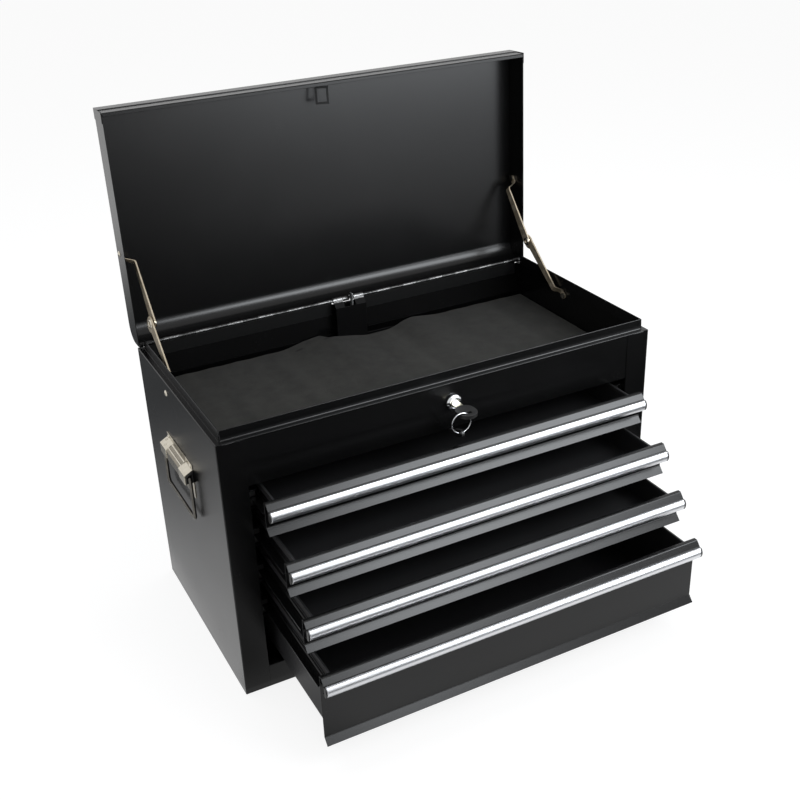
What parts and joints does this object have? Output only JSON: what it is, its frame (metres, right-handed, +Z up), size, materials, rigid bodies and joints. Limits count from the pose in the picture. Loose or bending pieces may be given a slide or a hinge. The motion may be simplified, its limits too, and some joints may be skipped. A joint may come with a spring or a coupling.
{
  "type": "top tool chest",
  "caption": "Sheet steel top tool chest with drawers on side slides, a lined till under a hinged lid on folding stays, a key lock and swinging side handles.",
  "frame": {"origin": "centre of the flat base, on the surface that the chest stands on", "axes": "+X to the right seen from the drawer side, -Y out of the drawer fronts, +Z up"},
  "size_m": [0.624, 0.5241, 0.6665],
  "materials": {
    "black_paint": "satin powder coat",
    "foam_mat": "closed-cell foam sheet",
    "zinc_steel": "zinc plate",
    "nylon": "moulded, black",
    "bright_nickel": "bright nickel",
    "chrome": "polished",
    "black_plastic": "moulded",
    "brushed_trim": "brushed along its length"
  },
  "bodies": {
    "casing": {"side_left": "black_paint", "side_right": "black_paint", "back_panel": "black_paint", "bottom_panel": "black_paint", "front_panel": "black_paint", "till_floor": "black_paint", "till_mat": "foam_mat", "slide_posts": "black_paint", "slide_channels": "black_paint", "slide_glides": "nylon", "casing_leaf": "zinc_steel", "hinge_pin": "zinc_steel", "bar_cover": "black_paint", "bar_guides": "zinc_steel", "lock_barrel": "chrome", "lock_nut": "zinc_steel", "handle_brackets": "bright_nickel", "handle_bushes": "black_plastic", "handle_rivets": "bright_nickel", "casing_studs": "bright_nickel"},
    "lid": {"lid_shell": "black_paint", "lid_ends": "black_paint", "lid_front_rail": "black_paint", "lid_leaf": "zinc_steel", "striker": "black_paint", "lid_studs": "bright_nickel"},
    "lock": {"lock_plug": "chrome", "lock_cam": "zinc_steel", "key_blade": "chrome", "key_head": "black_plastic"},
    "key_ring": {"key_ring": "chrome", "spare_key": "black_plastic"},
    "stay_lower_left": {"stay_lower_left": "bright_nickel"},
    "stay_lower_right": {"stay_lower_right": "bright_nickel"},
    "stay_upper_left": {"stay_upper_left": "bright_nickel"},
    "stay_upper_right": {"stay_upper_right": "bright_nickel"},
    "lock_bar": {"lock_bar": "zinc_steel"},
    "bail_left": {"bail_left": "bright_nickel"},
    "bail_right": {"bail_right": "bright_nickel"},
    "drawer_1": {"drawer_1_box": "black_paint", "drawer_1_front": "black_paint", "drawer_1_trim": "brushed_trim", "drawer_1_caps": "black_plastic", "drawer_1_runners": "black_paint"},
    "drawer_2": {"drawer_2_box": "black_paint", "drawer_2_front": "black_paint", "drawer_2_trim": "brushed_trim", "drawer_2_caps": "black_plastic", "drawer_2_runners": "black_paint"},
    "drawer_3": {"drawer_3_box": "black_paint", "drawer_3_front": "black_paint", "drawer_3_trim": "brushed_trim", "drawer_3_caps": "black_plastic", "drawer_3_runners": "black_paint"},
    "drawer_4": {"drawer_4_box": "black_paint", "drawer_4_front": "black_paint", "drawer_4_trim": "brushed_trim", "drawer_4_caps": "black_plastic", "drawer_4_runners": "black_paint"}
  },
  "joints": [
    {"name": "lid_hinge", "type": "hinge", "parent": "casing", "child": "lid", "pos_m": [0, 0.1505, 0.362], "axis": [1, 0, 0], "range_deg": [0, 91.5]},
    {"name": "stay_lower_left", "type": "hinge", "parent": "casing", "child": "stay_lower_left", "pos_m": [-0.2975, 0.035, 0.341], "axis": [1, 0, 0], "range_deg": [-21.21, 0]},
    {"name": "stay_upper_left", "type": "hinge", "parent": "lid", "child": "stay_upper_left", "pos_m": [-0.2975, 0.17562, 0.48098], "axis": [1, 0, 0], "range_deg": [0, 30.89]},
    {"name": "stay_lower_right", "type": "hinge", "parent": "casing", "child": "stay_lower_right", "pos_m": [0.2975, 0.035, 0.341], "axis": [1, 0, 0], "range_deg": [-21.21, 0]},
    {"name": "stay_upper_right", "type": "hinge", "parent": "lid", "child": "stay_upper_right", "pos_m": [0.2975, 0.17562, 0.48098], "axis": [1, 0, 0], "range_deg": [0, 30.89]},
    {"name": "lock_bar_slide", "type": "slide", "parent": "casing", "child": "lock_bar", "axis": [0, 0, 1], "range_m": [-0.01005, 0]},
    {"name": "drawer_1_slide", "type": "slide", "parent": "casing", "child": "drawer_1", "axis": [0, -1, 0], "range_m": [-0.04, 0.16]},
    {"name": "drawer_2_slide", "type": "slide", "parent": "casing", "child": "drawer_2", "axis": [0, -1, 0], "range_m": [-0.09, 0.11]},
    {"name": "drawer_3_slide", "type": "slide", "parent": "casing", "child": "drawer_3", "axis": [0, -1, 0], "range_m": [-0.129, 0.071]},
    {"name": "drawer_4_slide", "type": "slide", "parent": "casing", "child": "drawer_4", "axis": [0, -1, 0], "range_m": [-0.167, 0.033]},
    {"name": "lock_turn", "type": "hinge", "parent": "casing", "child": "lock", "pos_m": [0.0035, -0.154, 0.33], "axis": [0, 1, 0], "range_deg": [0, 90]},
    {"name": "key_ring_swing", "type": "hinge", "parent": "lock", "child": "key_ring", "pos_m": [-0.00675, -0.191, 0.33], "axis": [0, 1, 0], "range_deg": [-10, 40]},
    {"name": "bail_left_swing", "type": "hinge", "parent": "casing", "child": "bail_left", "pos_m": [-0.306, 0.006, 0.261], "axis": [0, 1, 0], "range_deg": [-2, 90]},
    {"name": "bail_right_swing", "type": "hinge", "parent": "casing", "child": "bail_right", "pos_m": [0.306, 0.006, 0.261], "axis": [0, -1, 0], "range_deg": [-2, 90]}
  ],
  "couplings": [
    {"joint": "stay_lower_left", "follows": "lid_hinge", "ratio": -0.2314},
    {"joint": "stay_upper_left", "follows": "lid_hinge", "ratio": 0.33691},
    {"joint": "stay_lower_right", "follows": "lid_hinge", "ratio": -0.2314},
    {"joint": "stay_upper_right", "follows": "lid_hinge", "ratio": 0.33691},
    {"joint": "lock_bar_slide", "follows": "lid_hinge", "m_per_rad": -0.006279}
  ]
}
